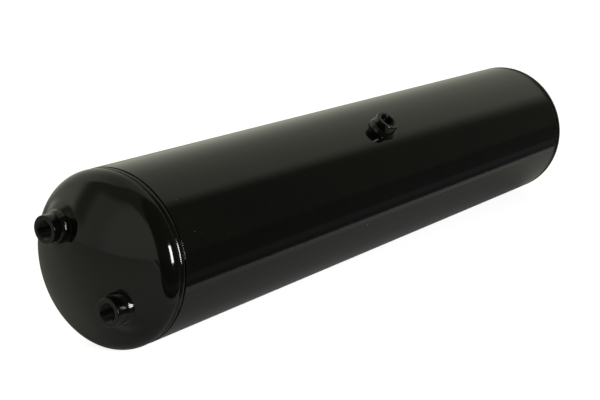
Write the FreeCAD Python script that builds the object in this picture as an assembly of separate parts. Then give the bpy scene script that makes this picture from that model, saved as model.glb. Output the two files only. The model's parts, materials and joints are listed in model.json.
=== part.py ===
import FreeCAD, Part
import math
import os

# Compressed-air reservoir: a rolled steel shell lying on its side, closed by two pressed heads,
# with two threaded ports in each head and one in the shell.  Millimetres and degrees.
# X runs along the tank, Z is up.  The origin is on the floor under the middle of the tank.

# Shell: one sheet rolled round and closed by one straight weld.
shell_outer_diameter = 206.0
shell_wall = 2.5
shell_length = 932.0
long_weld_angle = 310.0
long_weld_width = 7.0
long_weld_crown = 0.9
long_weld_end_gap = 3.0

# Heads: a crown and a knuckle, then a short skirt at the shell's diameter, then a flange that
# steps in by the shell's wall and slides into the shell's end.
head_wall = 3.0
crown_radius = 206.0
knuckle_radius = 20.6
joggle_start = 5.9
joggle_angle = 30.0
skirt_length = 1.0
flange_reach = 14.0
flange_gap = 0.1

# Ring weld: it fills the groove between the shell's end and the head's shoulder, and its crown
# stays just under the shell's outside, so that the tank lies on its shell.
ring_weld_width = 7.9
ring_weld_toe_drop = 1.45
ring_weld_crown_drop = 0.1

# Head ports: turned bosses that stand on the crown with their axes along the tank.
port_pair_angle = 40.6
port_offset = 59.5
port_face_height = 63.4

# Every port has the same boss and the same metric thread, M22 x 1.5.
boss_radius = 16.3
boss_edge_chamfer = 0.6
boss_hole_clearance = 0.1
boss_inner_reach = 1.5
thread_minor_radius = 10.19
thread_mouth_radius = 11.4

# Shell port: it stands square to the shell, about a right angle round from the head ports.
shell_port_station = -9.0
shell_port_angle = 127.4
shell_port_height = 16.5

# Fillet welds round the bosses: how far they climb the boss and spread over the sheet.
fillet_climb = 6.4
fillet_spread = 3.6
fillet_belly = 0.4

AXIS = FreeCAD.Vector(1, 0, 0)
shell_outer_radius = shell_outer_diameter / 2
shell_inner_radius = shell_outer_radius - shell_wall
axis_height = shell_outer_radius
half_length = shell_length / 2
joggle_step = shell_wall + flange_gap
joggle_slope = math.tan(math.radians(joggle_angle))
joggle_end = joggle_start + joggle_step / joggle_slope
skirt_end = joggle_end + skirt_length


def arc_middle(start, end, bulge):
    """Point beside the middle of a chord, at the distance bulge to the left of its direction."""
    along = end - start
    left = FreeCAD.Vector(-along.y, along.x, 0).normalize()
    return (start + end) / 2 + left * bulge


def line(start, end):
    return Part.makeLine(start, end)


def arc(start, middle, end):
    return Part.Arc(start, middle, end).toShape()


def turned(edges):
    """Solid made by turning a closed outline, drawn in the XY plane, once round the X axis."""
    face = Part.Face(Part.Wire(edges))
    return face.revolve(FreeCAD.Vector(0, 0, 0), AXIS, 360)


def head_outline(depth):
    """Edges of the head's profile at a depth inside its outer surface, from flange to apex.

    X is the distance out from the shell's end and Y the radius.  The crown, the knuckle and the
    skirt meet at tangents, so a deeper profile keeps their centres and loses depth in radius.
    """
    knuckle_x = skirt_end
    knuckle_y = shell_outer_radius - knuckle_radius
    crown_reach = math.sqrt((crown_radius - knuckle_radius) ** 2 - knuckle_y ** 2)
    crown_x = knuckle_x - crown_reach
    meeting = math.atan2(knuckle_y, crown_reach)
    small = knuckle_radius - depth
    large = crown_radius - depth
    half_turn = (meeting + math.pi / 2) / 2
    mitre = depth * math.tan(math.radians(joggle_angle) / 2)
    radius = shell_outer_radius - depth
    points = [
        FreeCAD.Vector(-flange_reach, radius - joggle_step, 0),
        FreeCAD.Vector(joggle_start + mitre, radius - joggle_step, 0),
        FreeCAD.Vector(joggle_end + mitre, radius, 0),
        FreeCAD.Vector(knuckle_x, radius, 0),
    ]
    knuckle_middle = FreeCAD.Vector(
        knuckle_x + small * math.cos(half_turn), knuckle_y + small * math.sin(half_turn), 0)
    knuckle_end = FreeCAD.Vector(
        crown_x + large * math.cos(meeting), large * math.sin(meeting), 0)
    crown_middle = FreeCAD.Vector(
        crown_x + large * math.cos(meeting / 2), large * math.sin(meeting / 2), 0)
    apex = FreeCAD.Vector(crown_x + large, 0, 0)
    edges = [line(first, second) for first, second in zip(points, points[1:])]
    edges.append(arc(points[-1], knuckle_middle, knuckle_end))
    edges.append(arc(knuckle_end, crown_middle, apex))
    return edges, points[0], apex


def head_filled(depth):
    """Everything inside the head's surface at a depth, closed flat at the flange's end."""
    edges, flange_edge, apex = head_outline(depth)
    flange_centre = FreeCAD.Vector(flange_edge.x, 0, 0)
    edges.append(line(apex, flange_centre))
    edges.append(line(flange_centre, flange_edge))
    return turned(edges)


def crown_height(offset):
    """Height of the crown's outer surface beyond the shell's end, at an offset from the axis."""
    knuckle_y = shell_outer_radius - knuckle_radius
    crown_x = skirt_end - math.sqrt((crown_radius - knuckle_radius) ** 2 - knuckle_y ** 2)
    return crown_x + math.sqrt(crown_radius ** 2 - offset ** 2)


def port_centres():
    """Centres of the two head ports, opposite each other about the tank's axis."""
    upper = math.radians(port_pair_angle)
    return {
        "upper": FreeCAD.Vector(0, port_offset * math.cos(upper), port_offset * math.sin(upper)),
        "lower": FreeCAD.Vector(0, -port_offset * math.cos(upper), -port_offset * math.sin(upper)),
    }


def head():
    """Pressed head with the holes that its two bosses pass through."""
    outer_edges, outer_flange, outer_apex = head_outline(0)
    inner_edges, inner_flange, inner_apex = head_outline(head_wall)
    inner_edges.reverse()
    outline = outer_edges + [line(outer_apex, inner_apex)]
    outline += inner_edges + [line(inner_flange, outer_flange)]
    wall = turned(outline)
    radius = boss_radius + boss_hole_clearance
    for centre in port_centres().values():
        wall = wall.cut(Part.makeCylinder(radius, port_face_height, centre, AXIS))
    return wall


def ring_weld():
    """Bead between the shell's end and the head: crowned outside, seated on the stepped flange."""
    toe_gap = joggle_slope * (joggle_end - ring_weld_width)
    shell_toe = FreeCAD.Vector(0, shell_outer_radius - ring_weld_toe_drop, 0)
    root = FreeCAD.Vector(0, shell_outer_radius - joggle_step, 0)
    foot = FreeCAD.Vector(joggle_start, shell_outer_radius - joggle_step, 0)
    head_toe = FreeCAD.Vector(ring_weld_width, shell_outer_radius - toe_gap, 0)
    crown = FreeCAD.Vector(ring_weld_width / 2, shell_outer_radius - ring_weld_crown_drop, 0)
    edges = [
        line(shell_toe, root),
        line(root, foot),
        line(foot, head_toe),
        arc(head_toe, crown, shell_toe),
    ]
    return turned(edges)


def boss(length, inner_length):
    """Turned boss on the X axis with its seat at X = 0, its outer face at X = length."""
    sink = thread_mouth_radius - thread_minor_radius
    corners = [
        FreeCAD.Vector(-inner_length, thread_minor_radius, 0),
        FreeCAD.Vector(-inner_length, boss_radius, 0),
        FreeCAD.Vector(length - boss_edge_chamfer, boss_radius, 0),
        FreeCAD.Vector(length, boss_radius - boss_edge_chamfer, 0),
        FreeCAD.Vector(length, thread_mouth_radius, 0),
        FreeCAD.Vector(length - sink, thread_minor_radius, 0),
    ]
    edges = [line(first, second) for first, second in zip(corners, corners[1:] + corners[:1])]
    return turned(edges)


def fillet_weld(sheet_radius):
    """Body of a fillet weld, turned on the X axis, with its seat on a sheet of that radius.

    It is slightly bellied and reaches under its seat twice as far as the sheet curves away.  The
    boss and the sheet are still to be cut out of it.
    """
    toe_radius = boss_radius + fillet_spread
    sink = 2 * (sheet_radius - math.sqrt(sheet_radius ** 2 - toe_radius ** 2))
    base = FreeCAD.Vector(-sink, 0, 0)
    low_toe = FreeCAD.Vector(-sink, toe_radius, 0)
    toe = FreeCAD.Vector(0, toe_radius, 0)
    top = FreeCAD.Vector(fillet_climb, boss_radius, 0)
    peak = FreeCAD.Vector(fillet_climb, 0, 0)
    edges = [
        line(base, low_toe),
        line(low_toe, toe),
        arc(toe, arc_middle(toe, top, -fillet_belly), top),
        line(top, peak),
        line(peak, base),
    ]
    return turned(edges)


def boss_room():
    """The room that a boss takes up in its weld, on the X axis with the seat at X = 0."""
    reach = boss_radius + fillet_climb
    return Part.makeCylinder(boss_radius, 2 * reach, FreeCAD.Vector(-reach, 0, 0), AXIS)


def at_shell_port(shape):
    """Copy of a shape drawn along X, stood on the shell's surface at the shell port."""
    angle = math.radians(shell_port_angle)
    outward = FreeCAD.Vector(0, math.cos(angle), math.sin(angle))
    foot = outward * shell_outer_radius
    foot.x = shell_port_station
    copy = shape.copy()
    copy.Placement = FreeCAD.Placement(foot, FreeCAD.Rotation(AXIS, outward))
    return copy


def shell():
    """Rolled shell with the hole for its port."""
    start = FreeCAD.Vector(-half_length, 0, 0)
    tube = Part.makeCylinder(shell_outer_radius, shell_length, start, AXIS)
    tube = tube.cut(Part.makeCylinder(shell_inner_radius, shell_length, start, AXIS))
    hole = Part.makeCylinder(
        boss_radius + boss_hole_clearance, 8 * shell_wall, FreeCAD.Vector(-4 * shell_wall, 0, 0), AXIS)
    return tube.cut(at_shell_port(hole))


def long_weld():
    """Flat bead along the shell's seam, standing on the shell between the two ring welds."""
    half_width = long_weld_width / 2
    sag = shell_outer_radius - math.sqrt(shell_outer_radius ** 2 - half_width ** 2)
    left = FreeCAD.Vector(0, -half_width, shell_outer_radius - sag)
    right = FreeCAD.Vector(0, half_width, shell_outer_radius - sag)
    top = FreeCAD.Vector(0, 0, shell_outer_radius + long_weld_crown)
    under = FreeCAD.Vector(0, 0, shell_outer_radius)
    face = Part.Face(Part.Wire([arc(left, top, right), arc(right, under, left)]))
    length = shell_length - 2 * long_weld_end_gap
    face.translate(FreeCAD.Vector(-length / 2, 0, 0))
    bead = face.extrude(FreeCAD.Vector(length, 0, 0))
    bead.rotate(FreeCAD.Vector(0, 0, 0), AXIS, long_weld_angle - 90)
    return bead


def front_end(shape):
    """Copy of a shape drawn outwards from the shell's end, turned to face -X at the front."""
    copy = shape.mirror(FreeCAD.Vector(0, 0, 0), AXIS)
    copy.translate(FreeCAD.Vector(-half_length, 0, 0))
    return copy


def rear_end(shape):
    """Copy of a shape drawn outwards from the shell's end, moved to the rear end."""
    copy = shape.copy()
    copy.translate(FreeCAD.Vector(half_length, 0, 0))
    return copy


def end_pieces():
    """Pieces of one end of the tank, each drawn outwards from the shell's end."""
    pieces = {"head": head(), "ring_weld": ring_weld()}
    seat_height = crown_height(port_offset)
    low_side = crown_height(port_offset + boss_radius + boss_hole_clearance)
    inner_length = seat_height - low_side + head_wall + boss_inner_reach
    filled = head_filled(0)
    for name, centre in port_centres().items():
        seat = FreeCAD.Vector(seat_height, centre.y, centre.z)
        square = FreeCAD.Vector(math.sqrt(crown_radius ** 2 - port_offset ** 2), centre.y, centre.z)
        body = boss(port_face_height - seat_height, inner_length)
        weld = fillet_weld(crown_radius)
        weld.Placement = FreeCAD.Placement(FreeCAD.Vector(0, 0, 0), FreeCAD.Rotation(AXIS, square))
        weld = weld.cut(boss_room())
        body.translate(seat)
        weld.translate(seat)
        pieces[name + "_port"] = body
        pieces[name + "_port_weld"] = weld.cut(filled)
    return pieces


def shell_port_pieces():
    """Boss and fillet weld of the shell port; the weld is cut to sit on the round shell."""
    body = at_shell_port(boss(shell_port_height, shell_wall + boss_inner_reach))
    weld = at_shell_port(fillet_weld(shell_outer_radius).cut(boss_room()))
    start = FreeCAD.Vector(-half_length, 0, 0)
    weld = weld.cut(Part.makeCylinder(shell_outer_radius, shell_length, start, AXIS))
    return {"shell_port": body, "shell_port_weld": weld}


def all_pieces():
    """Every piece of the tank by name, about the tank's own axis."""
    pieces = {"shell": shell(), "shell_seam_weld": long_weld()}
    pieces.update(shell_port_pieces())
    for name, shape in end_pieces().items():
        pieces["front_" + name] = front_end(shape)
        pieces["rear_" + name] = rear_end(shape)
    return pieces


os.makedirs("parts", exist_ok=True)
for node, piece in all_pieces().items():
    piece.translate(FreeCAD.Vector(0, 0, axis_height))
    piece.exportStep("parts/" + node + ".step")
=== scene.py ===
import json
import math

import bpy
import numpy as np
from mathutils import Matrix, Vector


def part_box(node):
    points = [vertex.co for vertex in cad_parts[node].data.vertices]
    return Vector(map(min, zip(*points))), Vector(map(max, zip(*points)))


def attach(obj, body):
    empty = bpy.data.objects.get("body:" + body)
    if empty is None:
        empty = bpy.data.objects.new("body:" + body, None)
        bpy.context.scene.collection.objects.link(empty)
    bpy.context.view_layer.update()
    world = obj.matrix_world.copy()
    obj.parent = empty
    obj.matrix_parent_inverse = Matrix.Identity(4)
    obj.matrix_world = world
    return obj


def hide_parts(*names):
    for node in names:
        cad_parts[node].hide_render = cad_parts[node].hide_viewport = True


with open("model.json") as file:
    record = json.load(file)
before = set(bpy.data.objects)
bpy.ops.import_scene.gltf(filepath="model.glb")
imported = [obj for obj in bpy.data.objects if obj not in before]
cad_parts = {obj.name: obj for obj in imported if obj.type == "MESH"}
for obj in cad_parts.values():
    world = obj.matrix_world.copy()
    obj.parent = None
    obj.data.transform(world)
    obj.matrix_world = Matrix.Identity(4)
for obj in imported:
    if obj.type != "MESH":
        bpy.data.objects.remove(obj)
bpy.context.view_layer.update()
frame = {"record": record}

# ---------------------------------------------------------------- sizes, metres
# What the frame knows is read from it; the rest repeats the sheet and weld sizes of the parts.
mounts = {mount["name"]: mount for mount in frame["record"]["mounts"]}
AXIS_HEIGHT = mounts["front_strap_seat"]["pos_m"][2]
SHELL_RADIUS = mounts["front_strap_seat"]["dims"]["r_mm"] / 1000
HALF_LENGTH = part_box("shell")[1].x
THREAD_MINOR = mounts["shell_port"]["dims"]["r_mm"] / 1000

SHELL_WALL = 0.0025
SHELL_EDGE_ROUND = 0.0005
HEAD_WALL = 0.003
CROWN_RADIUS = 0.206
KNUCKLE_RADIUS = 0.0206
SKIRT_END = 0.0114
JOGGLE_START = 0.0059
JOGGLE_STEP = 0.0026
JOGGLE_ANGLE = math.radians(30.0)
JOGGLE_SLOPE = math.tan(JOGGLE_ANGLE)
JOGGLE_END = JOGGLE_START + JOGGLE_STEP / JOGGLE_SLOPE
FLANGE_REACH = 0.014
RING_WELD_WIDTH = 0.0079
RING_WELD_TOE_DROP = 0.00145
RING_WELD_CROWN_DROP = 0.0001
BOSS_RADIUS = 0.0163
BOSS_HOLE_RADIUS = 0.0164
BOSS_EDGE = 0.0006
BOSS_INNER_REACH = 0.0015
SEAT_INNER = 0.017
SEAT_OUTER = 0.031
SEAT_FLATNESS = 0.45
SEAT_LIFT = 0.003
THREAD_MOUTH = 0.0114
THREAD_DEPTH = 0.00081
THREAD_PITCH = 0.0015
FILLET_CLIMB = 0.0064
FILLET_SPREAD = 0.0036
FILLET_BELLY = 0.0004
SEAM_ANGLE = math.radians(310.0)
SEAM_WIDTH = 0.007
SEAM_CROWN = 0.0009
SEAM_END_GAP = 0.003
SHELL_PORT_HEIGHT = 0.0165

# Edges that turn by more than this are drawn sharp.
SHARP_ANGLE = math.radians(40.0)
# Painted fillets are slimmer and taller than the plain section, and lower on rising ground.
FILLET_SLIM = 0.85
FILLET_TALL = 1.15
FILLET_LEAN = 0.3
# Height of the ripples on each kind of weld.
RING_RIPPLE = 0.00007
SEAM_RIPPLE = 0.00008
FILLET_RIPPLE = 0.0001
# How far from the shell port's axis the shell's mesh is fine.
PORT_MESH_REACH = 0.024


# ---------------------------------------------------------------- shader expressions
class Wire:
    """An output socket on which Python arithmetic adds the Math nodes that work it out."""

    def __init__(self, recipe, socket):
        self.recipe = recipe
        self.socket = socket

    def math(self, operation, first, second):
        return self.recipe.node("ShaderNodeMath", {"operation": operation}, {0: first, 1: second})

    def __add__(self, other):
        return self.math("ADD", self, other)

    __radd__ = __add__

    def __sub__(self, other):
        return self.math("SUBTRACT", self, other)

    def __rsub__(self, other):
        return self.math("SUBTRACT", other, self)

    def __mul__(self, other):
        return self.math("MULTIPLY", self, other)

    __rmul__ = __mul__


class Recipe:
    """The node tree of one material or of the world."""

    def __init__(self, owner):
        owner.use_nodes = True
        self.tree = owner.node_tree
        self.tree.nodes.clear()

    def node(self, kind, settings, inputs, output=0):
        """Adds a node: its settings first, then its sockets, by name or by number."""
        made = self.tree.nodes.new(kind)
        for name, value in settings.items():
            setattr(made, name, value)
        for name, value in inputs.items():
            if isinstance(value, Wire):
                self.tree.links.new(value.socket, made.inputs[name])
            else:
                made.inputs[name].default_value = value
        if not made.outputs:
            return None
        return Wire(self, made.outputs[output])

    def noise(self, vector, scale, detail=2.0, roughness=0.5):
        return self.node(
            "ShaderNodeTexNoise",
            {},
            {"Vector": vector, "Scale": scale, "Detail": detail, "Roughness": roughness},
        )

    def ramp(self, value, low, high):
        """0 below low, 1 above high, and a smooth rise between."""
        return self.node(
            "ShaderNodeMapRange",
            {"interpolation_type": "SMOOTHSTEP"},
            {"Value": value, "From Min": low, "From Max": high},
        )

    def mix(self, amount, first, second):
        """Colour between two colours, which are the Mix node's sockets A and B for colours."""
        sockets = {"Factor": amount, 6: first, 7: second}
        return self.node("ShaderNodeMix", {"data_type": "RGBA"}, sockets, 2)


WARM_BLACK = (0.0022, 0.0024, 0.0015, 1)
PLAIN_BLACK = (0.0016, 0.0016, 0.0015, 1)
DUST = (0.045, 0.044, 0.038, 1)
SPECK = (0.16, 0.16, 0.15, 1)


def gloss_paint(name, peel, peel_size, roughness, dust):
    """Gloss black paint: a near-black coat with orange peel, slow unevenness, dust and specks."""
    material = bpy.data.materials.new(name)
    recipe = Recipe(material)
    place = recipe.node("ShaderNodeTexCoord", {}, {}, "Object")
    slow = recipe.noise(place, scale=9.0, detail=3.0)
    fine = recipe.noise(place, scale=peel_size)
    wide = recipe.noise(place, scale=26.0)
    cells = recipe.node("ShaderNodeTexVoronoi", {"feature": "F1"}, {"Vector": place, "Scale": 42.0})
    which = recipe.noise(place, scale=17.0, detail=1.0)
    specks = (1 - recipe.ramp(cells, 0.035, 0.06)) * recipe.ramp(which, 0.56, 0.6)
    clouds = recipe.noise(place, scale=60.0, detail=5.0, roughness=0.65)
    film = recipe.ramp(clouds, 0.5, 0.8) * dust
    tint = recipe.mix(recipe.ramp(slow, 0.35, 0.65), WARM_BLACK, PLAIN_BLACK)
    colour = recipe.mix(specks * 0.6, recipe.mix(film, tint, DUST), SPECK)
    height = fine * peel + wide * (peel * 3.0) + specks * (peel * 4.0)
    bump = recipe.node("ShaderNodeBump", {}, {"Strength": 1.0, "Distance": 0.001, "Height": height})
    shine = roughness + slow * 0.03 + film * 0.3
    paint = recipe.node(
        "ShaderNodeBsdfPrincipled",
        {},
        {"Base Color": colour, "Roughness": shine, "Normal": bump, "IOR": 1.5},
    )
    recipe.node("ShaderNodeOutputMaterial", {}, {"Surface": paint})
    return material


finishes = {
    "painted_sheet": gloss_paint(
        "painted_sheet", peel=0.018, peel_size=240.0, roughness=0.07, dust=0.04
    ),
    "painted_boss": gloss_paint(
        "painted_boss", peel=0.012, peel_size=420.0, roughness=0.14, dust=0.06
    ),
    "painted_weld": gloss_paint(
        "painted_weld", peel=0.016, peel_size=520.0, roughness=0.08, dust=0.08
    ),
}


# ---------------------------------------------------------------- mesh work
def grid_faces(rows, columns, wrap_rows, wrap_columns):
    """Quads between neighbouring rows and columns; a wrapped side joins the last to the first."""
    row, column = np.meshgrid(
        np.arange(rows if wrap_rows else rows - 1),
        np.arange(columns if wrap_columns else columns - 1),
        indexing="ij",
    )
    next_row = (row + 1) % rows
    next_column = (column + 1) % columns
    corners = [
        row * columns + column,
        row * columns + next_column,
        next_row * columns + next_column,
        next_row * columns + column,
    ]
    return np.stack(corners, axis=-1).reshape(-1, 4)


def walled(outer, inner, wrap_columns, kept=None):
    """Closed wall between two surfaces on the same grid.

    The inner surface's quads run the other way round, and each edge that only one kept quad
    uses gets a quad across the wall, so holes and ends close by themselves.
    """
    rows, columns = outer.shape[:2]
    count = rows * columns
    faces = grid_faces(rows, columns, False, wrap_columns)
    if kept is not None:
        faces = faces[kept.ravel()]
    starts = faces.ravel()
    ends = np.roll(faces, -1, axis=1).ravel()
    alone = ~np.isin(starts * count + ends, ends * count + starts)
    starts, ends = starts[alone], ends[alone]
    rims = np.stack([ends, starts, starts + count, ends + count], axis=-1)
    points = np.concatenate([outer.reshape(-1, 3), inner.reshape(-1, 3)])
    return points, np.concatenate([faces, faces[:, ::-1] + count, rims])


def make_piece(name, node, points, faces, slot):
    """Object of quads that stands for a CAD node; its volume's sign turns its faces outward."""
    used, faces = np.unique(faces, return_inverse=True)
    faces = faces.reshape(-1, 4)
    points = points[used]
    a, b, c, d = (points[faces[:, k]] for k in range(4))
    volume = np.sum(a * np.cross(b, c)) + np.sum(a * np.cross(c, d))
    if volume < 0:
        faces = faces[:, ::-1]
    mesh = bpy.data.meshes.new(name)
    mesh.vertices.add(len(points))
    mesh.vertices.foreach_set("co", points.astype(np.float32).ravel())
    mesh.loops.add(faces.size)
    mesh.loops.foreach_set("vertex_index", faces.astype(np.int32).ravel())
    mesh.polygons.add(len(faces))
    mesh.polygons.foreach_set("loop_start", np.arange(0, faces.size, 4, dtype=np.int32))
    mesh.update(calc_edges=True)
    mesh.shade_smooth()
    mesh.set_sharp_from_angle(angle=SHARP_ANGLE)
    mesh.materials.append(finishes[slot])
    piece = bpy.data.objects.new(name, mesh)
    bpy.context.scene.collection.objects.link(piece)
    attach(piece, "root")
    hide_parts(node)


def softened(corners, radius, steps):
    """Outline with each corner replaced by the quadratic curve that starts and ends radius away.

    Point = (1-t)^2 * start + 2t(1-t) * corner + t^2 * end, for t from 0 to 1.  A curve takes up
    less than half of the shorter side beside it.
    """
    corners = np.asarray(corners, float)
    back = np.roll(corners, 1, axis=0) - corners
    ahead = np.roll(corners, -1, axis=0) - corners
    back_length = np.linalg.norm(back, axis=1, keepdims=True)
    ahead_length = np.linalg.norm(ahead, axis=1, keepdims=True)
    most = 0.45
    start = corners + back / back_length * np.minimum(radius, back_length * most)
    end = corners + ahead / ahead_length * np.minimum(radius, ahead_length * most)
    t = np.linspace(0, 1, steps)[None, :, None]
    start, corners, end = start[:, None], corners[:, None], end[:, None]
    curve = (1 - t) ** 2 * start + 2 * t * (1 - t) * corners + t**2 * end
    return curve.reshape(-1, 2)


def turned(profile, angles):
    """Profile of (along, radius) carried round the X axis: (along, radius cos a, radius sin a)."""
    along, radius = profile[..., 0], profile[..., 1]
    if along.ndim == 1:
        along, radius = along[:, None], radius[:, None]
    shape = np.broadcast_shapes(along.shape, angles[None, :].shape)
    return np.stack(
        [
            np.broadcast_to(along, shape),
            radius * np.cos(angles)[None, :],
            radius * np.sin(angles)[None, :],
        ],
        axis=-1,
    )


def unevenness(turn, waves):
    """Sum of sines round a full turn: size * sin(count * turn + shift) for each wave."""
    counts, sizes, shifts = np.asarray(waves).T
    return np.sum(sizes * np.sin(np.multiply.outer(turn, counts) + shifts), axis=-1)


def ripples(along, across, pitch, height):
    """Weld ripples: cosine ridges a pitch apart whose phase lags with the square of across."""
    return height * 0.5 * (1 + np.cos(2 * np.pi * (along / pitch - 0.9 * across**2)))


def at_front(points):
    """Points drawn outwards from the shell's end, mirrored to face -X at the front."""
    return points * [-1, 1, 1] + [-HALF_LENGTH, 0, AXIS_HEIGHT]


def at_rear(points):
    """Points drawn outwards from the shell's end, moved to the rear end."""
    return points + [HALF_LENGTH, 0, AXIS_HEIGHT]


# ---------------------------------------------------------------- heads
KNUCKLE_CENTRE = SHELL_RADIUS - KNUCKLE_RADIUS
CROWN_REACH = math.sqrt((CROWN_RADIUS - KNUCKLE_RADIUS) ** 2 - KNUCKLE_CENTRE**2)
CROWN_CENTRE = SKIRT_END - CROWN_REACH
MEETING = math.atan2(KNUCKLE_CENTRE, CROWN_REACH)
CROWN_RINGS = 57
KNUCKLE_RINGS = 21
JOGGLE_BEND = 0.0006
head_centres = {
    name: np.array(mounts["front_" + name + "_port"]["pos_m"][1:]) - [0, AXIS_HEIGHT]
    for name in ("upper", "lower")
}


def crown_height(across, up, depth=0.0):
    """Height of the crown beyond the shell's end at a place on it and a depth inside.

    Sphere, but round each port drawn part of the way toward a flat seat square to the tank's
    axis: fully within the seat's inner radius, and fading smoothly to nothing at its outer one.
    """
    height = CROWN_CENTRE + np.sqrt((CROWN_RADIUS - depth) ** 2 - across**2 - up**2)
    for centre in head_centres.values():
        distance = np.hypot(across - centre[0], up - centre[1])
        fade = np.clip((SEAT_OUTER - distance) / (SEAT_OUTER - SEAT_INNER), 0, 1)
        flat = CROWN_CENTRE + math.sqrt(CROWN_RADIUS**2 - centre @ centre) - depth + SEAT_LIFT
        height = height + SEAT_FLATNESS * fade * fade * (3 - 2 * fade) * (flat - height)
    return height


def head_profile(depth):
    """Head's profile as (along, radius) at a depth inside it, from the apex to the flange's end.

    Crown: along = centre + R cos a, radius = R sin a.  Knuckle: the same round its own centre.
    Then the skirt, the step down to the flange with its bends softened, and the flange.
    """
    turn = np.linspace(0, MEETING, CROWN_RINGS)
    large = CROWN_RADIUS - depth
    crown = np.stack([CROWN_CENTRE + large * np.cos(turn), large * np.sin(turn)], 1)
    turn = np.linspace(MEETING, math.pi / 2, KNUCKLE_RINGS + 1)[1:]
    small = KNUCKLE_RADIUS - depth
    knuckle = np.stack([SKIRT_END + small * np.cos(turn), KNUCKLE_CENTRE + small * np.sin(turn)], 1)
    radius = SHELL_RADIUS - depth
    mitre = depth * math.tan(JOGGLE_ANGLE / 2)
    corners = [
        (SKIRT_END, radius),
        (JOGGLE_END + mitre, radius),
        (JOGGLE_START + mitre, radius - JOGGLE_STEP),
        (-FLANGE_REACH, radius - JOGGLE_STEP),
    ]
    bends = softened(corners, JOGGLE_BEND, steps=3)[3:9]
    return np.concatenate([crown, knuckle, bends, corners[-1:]])


def round_square(rings):
    """Ring number and angle on a square grid whose squares become circles.

    A point's ring is the larger of its two distances from the middle, and its angle is the
    quarter turn of its side plus an eighth turn times its place along that side.
    """
    side = np.arange(-rings, rings + 1)
    a, b = np.meshgrid(side, side, indexing="ij")
    ring = np.maximum(abs(a), abs(b))
    safe = np.maximum(ring, 1)
    upright = abs(a) >= abs(b)
    first = np.where(a >= 0, 0, np.pi) + np.pi / 4 * b / safe * np.sign(a)
    second = np.where(b >= 0, np.pi / 2, -np.pi / 2) - np.pi / 4 * a / safe * np.sign(b)
    return ring, np.where(upright, first, second)


def opened(flat, centres, radius, inside):
    """Grid points inside a hole, moved straight out from its centre to its rim."""
    for centre, within in zip(centres, inside):
        away = flat - centre
        distance = np.linalg.norm(away, axis=-1, keepdims=True)
        reach = np.maximum(distance, 1e-9)
        move = within[..., None] | (distance < radius)
        flat = np.where(move, centre + away / reach * radius, flat)
    return flat


def end_view(profile, ring, angle):
    """Places of the grid points seen along the axis: (radius cos angle, radius sin angle)."""
    radius = profile[ring, 1]
    return np.stack([radius * np.cos(angle), radius * np.sin(angle)], -1)


def head_surface(depth, ring, angle, centres, inside):
    """Surface of revolution on the round square grid, opened round the boss holes."""
    profile = head_profile(depth)
    flat = opened(end_view(profile, ring, angle), centres, BOSS_HOLE_RADIUS, inside)
    crown = crown_height(flat[..., 0], flat[..., 1], depth)
    along = np.where(ring < CROWN_RINGS, crown, profile[ring, 0])
    return np.concatenate([along[..., None], flat], -1)


def head_mesh(centres):
    """Pressed head: crown, knuckle, skirt and stepped flange, open where the bosses pass."""
    outside = head_profile(0.0)
    ring, angle = round_square(len(outside) - 1)
    flat = end_view(outside, ring, angle)
    inside = [np.linalg.norm(flat - centre, axis=-1) < BOSS_HOLE_RADIUS for centre in centres]
    within = np.any(inside, axis=0)
    kept = ~(within[:-1, :-1] & within[1:, :-1] & within[:-1, 1:] & within[1:, 1:])
    outer = head_surface(0.0, ring, angle, centres, inside)
    inner = head_surface(HEAD_WALL, ring, angle, centres, inside)
    return walled(outer, inner, False, kept)


# ---------------------------------------------------------------- ring weld
def ring_weld_mesh(shift):
    """Bead round the tank between the shell's edge and the head's shoulder.

    Its outside is the arc through both toes and the crown, with ripples along the bead and a
    slow unevenness that only lowers it; its underside follows the flange and the shell's edge.
    """
    turn = np.linspace(0, 2 * np.pi, 2160, endpoint=False)
    across = np.linspace(-1, 1, 13)
    half = RING_WELD_WIDTH / 2
    shell_toe = SHELL_RADIUS - RING_WELD_TOE_DROP
    head_toe = SHELL_RADIUS - JOGGLE_SLOPE * (JOGGLE_END - RING_WELD_WIDTH)
    crown = SHELL_RADIUS - RING_WELD_CROWN_DROP
    middle = (shell_toe + head_toe) / 2
    base = middle + (head_toe - shell_toe) / 2 * across + (crown - middle) * (1 - across**2)
    slow = unevenness(turn + shift, [(13, 0.5, 0.4), (29, 0.3, 1.9), (61, 0.2, 5.0)])
    wave = unevenness(turn + shift, [(17, 0.6, 2.4), (37, 0.4, 0.9)])
    fade = 1 - across[:, None] ** 2
    lumps = 0.00012 * (slow[None, :] - 1) * fade
    rise = ripples(turn[None, :] * SHELL_RADIUS, across[:, None], 0.0021, RING_RIPPLE) * fade
    radius = base[:, None] + lumps + rise - RING_RIPPLE * fade
    along = half * (1 + across)[:, None] + 0.00025 * wave[None, :] * fade
    outer = turned(np.stack([along, radius], -1), turn)
    under_along = np.linspace(0, RING_WELD_WIDTH, 13)
    under = SHELL_RADIUS - JOGGLE_STEP + JOGGLE_SLOPE * np.maximum(under_along - JOGGLE_START, 0)
    under = np.minimum(under, radius.min(axis=1)) - 0.0002
    inner = turned(np.stack([under_along, under], -1), turn)
    return walled(outer, inner, True)


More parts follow.
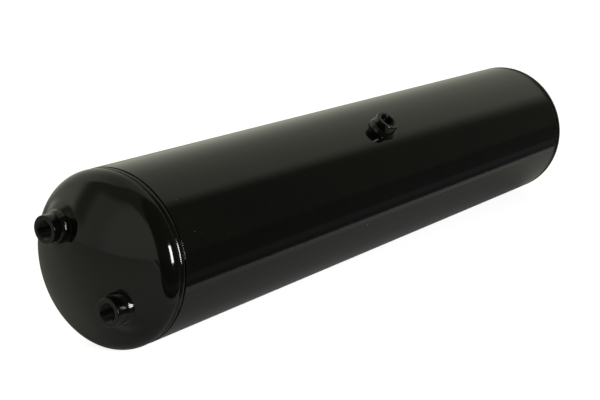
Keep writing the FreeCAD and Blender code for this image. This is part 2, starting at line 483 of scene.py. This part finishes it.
# ---------------------------------------------------------------- bosses and their welds
def boss_mesh(length, inner_length):
    """Turned boss on the X axis with the thread cut in its bore.

    The bore's radius is the thread's minor radius plus a groove that is a clipped triangle wave
    of (along / pitch - turn), faded out toward both ends; the rest is a softened outline.
    """
    turn = np.linspace(0, 2 * np.pi, 96, endpoint=False)
    sink = THREAD_MOUTH - THREAD_MINOR
    outline = softened(
        [
            (length - sink, THREAD_MINOR),
            (length, THREAD_MOUTH),
            (length, BOSS_RADIUS - BOSS_EDGE),
            (length - BOSS_EDGE, BOSS_RADIUS),
            (-inner_length, BOSS_RADIUS),
            (-inner_length, THREAD_MINOR),
        ],
        0.0003,
        steps=4,
    )[4:]
    body = turned(outline, turn)
    along = np.arange(-inner_length + 0.0004, length - 0.0001, THREAD_PITCH / 6)
    phase = (along[:, None] / THREAD_PITCH - turn[None, :] / (2 * np.pi)) % 1
    groove = np.clip(1.7 * (1 - abs(2 * phase - 1)) - 0.45, 0, 1)
    ends = np.clip((along + inner_length) / 0.003, 0, 1)[:, None]
    radius = THREAD_MINOR + THREAD_DEPTH * groove * ends
    radius = np.maximum(radius, THREAD_MOUTH - (length - along)[:, None])
    bore = turned(np.stack([np.broadcast_to(along[:, None], radius.shape), radius], -1), turn)
    points = np.concatenate([body, bore])
    return points.reshape(-1, 3), grid_faces(len(points), len(turn), True, True)


def fillet_mesh(surface_height, shift):
    """Fillet weld round a boss on the X axis, resting on a surface.

    Round the boss, a section runs from the boss's wall to the toe: a straight slope plus a
    belly of 1 - across^2, with ripples and slow lumps, and under it lies the surface.  It
    climbs the wall more where the surface falls away and less where it rises.
    surface_height gives that surface's height at each (radius, turn).
    """
    turn = np.linspace(0, 2 * np.pi, 360, endpoint=False)
    across = np.linspace(-1, 1, 13)[:, None]
    lump = unevenness(turn + shift, [(3, 0.0002, 0.3), (6, 0.0003, 2.0), (16, 0.00008, 4.0)])
    reach = FILLET_SPREAD * FILLET_SLIM + lump
    outward = (1 + across) / 2
    rise = (1 - across) / 2
    swell = FILLET_BELLY + 0.00015 * unevenness(turn + shift, [(9, 0.6, 1.1), (21, 0.4, 3.0)])
    ridges = ripples(turn[None, :] * BOSS_RADIUS * 1.3, across, 0.0019, FILLET_RIPPLE)
    bulge = (swell[None, :] + ridges) * (1 - across**2) * 0.7
    radius = BOSS_RADIUS + reach * outward + bulge
    wall_foot = surface_height(BOSS_RADIUS, turn)
    toe = surface_height(BOSS_RADIUS + reach, turn)
    steepness = (toe - wall_foot) / reach
    top = wall_foot + (FILLET_CLIMB * FILLET_TALL + lump) * (1 - FILLET_LEAN * steepness)
    height = top * rise + toe * outward + bulge
    outer = turned(np.stack([height, radius], -1), turn)
    under_radius = BOSS_RADIUS - 0.0003 + (reach + 0.0002) * outward
    under_height = surface_height(under_radius, turn[None, :]) - 0.0004
    inner = turned(np.stack([under_height, under_radius], -1), turn)
    return walled(outer, inner, True)


# ---------------------------------------------------------------- shell
def spread(low, high, near, reach, fine, coarse):
    """Places from low to high, fine apart within reach of near and coarse apart elsewhere."""
    left = np.linspace(low, near - reach, max(2, round((near - reach - low) / coarse)))
    middle = np.linspace(near - reach, near + reach, round(2 * reach / fine))
    right = np.linspace(near + reach, high, max(2, round((high - near - reach) / coarse)))
    return np.concatenate([left[:-1], middle, right[1:]])


def shell_mesh(station, port_turn):
    """Rolled shell: the grid is fine round the port's hole and its ends are rounded off."""
    reach = PORT_MESH_REACH
    places = spread(-HALF_LENGTH, HALF_LENGTH, station, reach, fine=0.0013, coarse=0.014)
    bend = np.linspace(0, np.pi / 2, 5)
    rings_behind = np.array([0.0002, 0.0007, 0.002, 0.006])
    edge = SHELL_EDGE_ROUND * (1 - np.cos(bend))
    edge = np.append(edge, SHELL_EDGE_ROUND + rings_behind)
    edge_drop = np.append(SHELL_EDGE_ROUND * (1 - np.sin(bend)), np.zeros(len(rings_behind)))
    places = np.concatenate([-HALF_LENGTH + edge, places[1:-1], HALF_LENGTH - edge[::-1]])
    drop = np.zeros(len(places))
    drop[: len(edge)] = edge_drop
    drop[-len(edge) :] = edge_drop[::-1]
    reach = PORT_MESH_REACH / SHELL_RADIUS
    turn = spread(port_turn - np.pi, port_turn + np.pi, port_turn, reach, fine=0.0125, coarse=0.035)
    turn = turn[:-1]
    along = np.broadcast_to(places[:, None], (len(places), len(turn)))
    girth = np.broadcast_to(turn[None, :] * SHELL_RADIUS, along.shape)
    flat = np.stack([along, girth], -1)
    centre = np.array([station, port_turn * SHELL_RADIUS])
    within = np.linalg.norm(flat - centre, axis=-1) < BOSS_HOLE_RADIUS
    beside = np.roll(within, -1, axis=1)
    kept = ~(within[:-1] & within[1:] & beside[:-1] & beside[1:])
    flat = opened(flat, [centre], BOSS_HOLE_RADIUS, [within])
    turns = flat[..., 1] / SHELL_RADIUS

    def at(radius):
        return np.stack([flat[..., 0], radius * np.cos(turns), radius * np.sin(turns)], -1)

    outer = at(SHELL_RADIUS - drop[:, None])
    inner = at(SHELL_RADIUS - SHELL_WALL)
    return walled(outer, inner, True, kept)


def seam_mesh():
    """Bead along the shell's seam: a low crowned strip with ripples, just proud of the shell."""
    length = 2 * (HALF_LENGTH - SEAM_END_GAP)
    along = np.linspace(-length / 2, length / 2, 1900)
    across = np.linspace(-1, 1, 11)
    turn = across * (SEAM_WIDTH / 2 + 0.0003) / SHELL_RADIUS
    wander = unevenness(along * 20, [(1.0, 0.00012, 0.5), (2.7, 0.0001, 2.0)])
    fade = (1 - across**2)[:, None]
    ridges = ripples(along[None, :], across[:, None], 0.0022, SEAM_RIPPLE)
    radius = SHELL_RADIUS - 0.0001 + (SEAM_CROWN + ridges - SEAM_RIPPLE) * fade
    turns = turn[:, None] + wander[None, :] / SHELL_RADIUS + SEAM_ANGLE
    places = np.broadcast_to(along[None, :], radius.shape)
    outer = np.stack([places, radius * np.cos(turns), radius * np.sin(turns)], -1)
    low = SHELL_RADIUS - 0.0005
    inner = np.stack([places, low * np.cos(turns), low * np.sin(turns)], -1)
    return walled(outer, inner, False)


# ---------------------------------------------------------------- building the tank
face_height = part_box("rear_upper_port")[1].x - HALF_LENGTH
boss_depth = face_height - (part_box("rear_upper_port")[0].x - HALF_LENGTH)
ends = {"front": at_front, "rear": at_rear}

head_points, head_faces = head_mesh(list(head_centres.values()))
for number, (end, placed) in enumerate(ends.items()):
    head, weld = end + "_head", end + "_ring_weld"
    make_piece(end + "_head_pressed", head, placed(head_points), head_faces, "painted_sheet")
    bead, bead_faces = ring_weld_mesh(1.7 * number)
    make_piece(end + "_ring_bead", weld, placed(bead), bead_faces, "painted_weld")
    for port, centre in head_centres.items():
        offset = np.array([0, centre[0], centre[1]])

        def crown_round_boss(radius, turn, centre=centre):
            """Crown's height at points round a boss, given by radius and turn about its axis."""
            across = centre[0] + radius * np.cos(turn)
            up = centre[1] + radius * np.sin(turn)
            return crown_height(across, up)

        name = end + "_" + port + "_port"
        weld = name + "_weld"
        body, body_faces = boss_mesh(face_height, boss_depth - face_height)
        make_piece(name + "_boss", name, placed(body + offset), body_faces, "painted_boss")
        bead, bead_faces = fillet_mesh(crown_round_boss, 2.3 * number + centre[0] * 40)
        make_piece(name + "_fillet", weld, placed(bead + offset), bead_faces, "painted_weld")

port_axis = np.array(mounts["shell_port"]["axis"])
station = mounts["shell_port"]["pos_m"][0]
port_turn = math.atan2(port_axis[2], port_axis[1])
beside_axis = np.array([0, -port_axis[2], port_axis[1]])


def at_shell_port(points):
    """Points drawn along X, stood on the shell at the shell port."""
    foot = np.array([station, 0, AXIS_HEIGHT]) + port_axis * SHELL_RADIUS
    return foot + points @ np.stack([port_axis, [1, 0, 0], beside_axis])


def shell_round_boss(radius, turn):
    """Height of the round shell beside the port's axis: the shell falls away across, not along."""
    return np.sqrt(SHELL_RADIUS**2 - (radius * np.sin(turn)) ** 2) - SHELL_RADIUS


shell_points, shell_faces = shell_mesh(station, port_turn)
axis = np.array([0, 0, AXIS_HEIGHT])
make_piece("rolled_shell", "shell", shell_points + axis, shell_faces, "painted_sheet")
seam_points, seam_faces = seam_mesh()
make_piece("seam_bead", "shell_seam_weld", seam_points + axis, seam_faces, "painted_weld")
body, body_faces = boss_mesh(SHELL_PORT_HEIGHT, SHELL_WALL + BOSS_INNER_REACH)
make_piece("shell_port_boss", "shell_port", at_shell_port(body), body_faces, "painted_boss")
bead, bead_faces = fillet_mesh(shell_round_boss, 0.9)
make_piece("shell_port_fillet", "shell_port_weld", at_shell_port(bead), bead_faces, "painted_weld")


# ---------------------------------------------------------------- stage, light and camera
def stage_object(name, points, faces, material, camera, glossy, diffuse):
    """Plain object that isn't part of the tank, seen only by the kinds of ray that are named."""
    mesh = bpy.data.meshes.new(name)
    mesh.from_pydata(points, [], faces)
    mesh.materials.append(material)
    made = bpy.data.objects.new(name, mesh)
    bpy.context.scene.collection.objects.link(made)
    made.visible_camera = camera
    made.visible_glossy = glossy
    made.visible_diffuse = diffuse
    made.visible_shadow = False


def stage_material(name, glow=0.0, shade=0.0):
    """White glow plus a matt grey, either of which may be nothing."""
    material = bpy.data.materials.new(name)
    recipe = Recipe(material)
    light = recipe.node("ShaderNodeEmission", {}, {"Color": (1, 1, 1, 1), "Strength": glow})
    matt = recipe.node("ShaderNodeBsdfDiffuse", {}, {"Color": (shade, shade, shade, 1)})
    both = recipe.node("ShaderNodeAddShader", {}, {0: light, 1: matt})
    recipe.node("ShaderNodeOutputMaterial", {}, {"Surface": both})
    return material


def disc(radius):
    """Round floor at the height 0, as one face."""
    turn = np.linspace(0, 2 * np.pi, 96, endpoint=False)
    points = np.stack([radius * np.cos(turn), radius * np.sin(turn), 0 * turn], 1)
    return points.tolist(), [list(range(len(turn)))]


TABLE_ENDS = (-1.6, 2.6)


def table_board():
    """Board under the tank, with a rounded nosing along the side that faces the key light."""
    front = -1.8 * SHELL_RADIUS
    back = 1.6
    top = -0.0005
    nose = 0.006
    sweep = np.linspace(0, np.pi, 13)
    side = np.concatenate([[back], front - nose * np.sin(sweep), [back]])
    height = np.concatenate([[top], top - nose * (1 - np.cos(sweep)), [top - 2 * nose]])
    along, side = np.meshgrid(TABLE_ENDS, side, indexing="ij")
    points = np.stack([along, side, np.broadcast_to(height, side.shape)], -1)
    faces = grid_faces(*side.shape, False, True)[:, ::-1]
    return points.reshape(-1, 3).tolist(), faces.tolist()


def dome(radius):
    """Half sphere: (radius cos e cos a, radius cos e sin a, radius sin e)."""
    rise, turn = np.meshgrid(
        np.linspace(-0.05, np.pi / 2 - 0.01, 24),
        np.linspace(0, 2 * np.pi, 64, endpoint=False),
        indexing="ij",
    )
    reach = radius * np.cos(rise)
    points = np.stack([reach * np.cos(turn), reach * np.sin(turn), radius * np.sin(rise)], -1)
    return points.reshape(-1, 3).tolist(), grid_faces(*rise.shape, False, True).tolist()


def floor_strip(near, far, height):
    """Flat strip along the tank between two distances from its axis, in shell radii."""
    front, back = TABLE_ENDS
    corners = [(front, near), (back, near), (back, far), (front, far)]
    return [(x, -side * SHELL_RADIUS, height) for x, side in corners], [(3, 2, 1, 0)]


# The camera sees a white floor and backdrop.  The paint mirrors a table and two strips instead.
seen = {"camera": True, "glossy": False, "diffuse": False}
mirrored = {"camera": False, "glossy": True, "diffuse": False}
pale_floor = stage_material("pale_floor", glow=0.87, shade=0.9)
stage_object("floor", *disc(30), pale_floor, **seen)
stage_object("backdrop", *dome(28), stage_material("white_backdrop", glow=1.0), **seen)
pale_board = stage_material("pale_board", shade=0.9)
stage_object("table", *table_board(), pale_board, camera=False, glossy=True, diffuse=True)
table_edge = floor_strip(near=1.58, far=1.78, height=0.0003)
stage_object("table_edge", *table_edge, stage_material("edge_glow", glow=0.34), **mirrored)
floor_beyond = floor_strip(near=2.2, far=2.85, height=-0.001)
stage_object("floor_beyond", *floor_beyond, stage_material("beyond_glow", glow=0.08), **mirrored)

world = bpy.data.worlds.new("light_tent")
bpy.context.scene.world = world
recipe = Recipe(world)
direction = recipe.node("ShaderNodeTexCoord", {}, {}, "Generated")
east, north, upward = (
    recipe.node("ShaderNodeSeparateXYZ", {}, {"Vector": direction}, letter) for letter in "XYZ"
)
# The tent: dark on the open side, a front wall that ends low, a bright far wall and roof.
closed = recipe.ramp(north, -0.36, -0.17)
front_wall = recipe.ramp(east, -0.66, -0.76) * recipe.ramp(upward, 0.43, 0.36)
slant = north + east * 0.65 + upward * 0.05
far_wall = recipe.ramp(east, -0.60, -0.48) * recipe.ramp(slant, -0.03, 0.07)
low_wall = recipe.ramp(upward, 0.12, 0.0)
lit = 1 - (1 - front_wall) * (1 - far_wall) * (1 - low_wall)
glow = recipe.ramp(north, 0.3, 0.85) * recipe.ramp(upward, -0.1, 0.1) * far_wall * 0.32
front_glow = recipe.ramp(east, -0.84, -0.94) * 0.12
open_side = recipe.ramp(upward, -0.05, 0.03) * 0.025 + 0.048
strength = open_side + closed * (0.105 + lit * 0.2 + glow + front_glow)
tint = recipe.mix(recipe.ramp(upward, -0.15, 0.05), (1, 1, 1, 1), (1.0, 1.03, 0.84, 1))
background = recipe.node("ShaderNodeBackground", {}, {"Color": tint, "Strength": strength})
recipe.node("ShaderNodeOutputWorld", {}, {"Surface": background})
world.cycles_visibility.camera = False


def area_light(name, place, target, width, height, power):
    """Soft rectangular lamp that faces a point."""
    data = bpy.data.lights.new(name, "AREA")
    data.shape = "RECTANGLE"
    data.size = width
    data.size_y = height
    data.energy = power
    lamp = bpy.data.objects.new(name, data)
    bpy.context.scene.collection.objects.link(lamp)
    lamp.location = place
    lamp.rotation_mode = "QUATERNION"
    lamp.rotation_quaternion = (Vector(target) - Vector(place)).to_track_quat("-Z", "Y")
    lamp.visible_camera = False


area_light("key_lamp", (-0.34, -1.6, 0.32), (-0.34, 0, 0.1), width=0.37, height=0.52, power=15.0)

camera_data = bpy.data.cameras.new("camera")
camera_data.lens = 78.3
camera_data.sensor_width = 36
camera_data.clip_start = 0.05
camera_data.clip_end = 100
camera = bpy.data.objects.new("camera", camera_data)
bpy.context.scene.collection.objects.link(camera)
# The camera's place is in shell radii from the middle of the shell's front end.
front_middle = Vector((-HALF_LENGTH, 0, AXIS_HEIGHT))
camera.location = front_middle + SHELL_RADIUS * Vector((-9.909, -9.501, 4.015))
camera.rotation_mode = "QUATERNION"
looking = Vector((0.7908, 0.5627, -0.2411))
camera.rotation_quaternion = looking.to_track_quat("-Z", "Y")
bpy.context.scene.camera = camera
bpy.context.scene.view_settings.view_transform = "Standard"
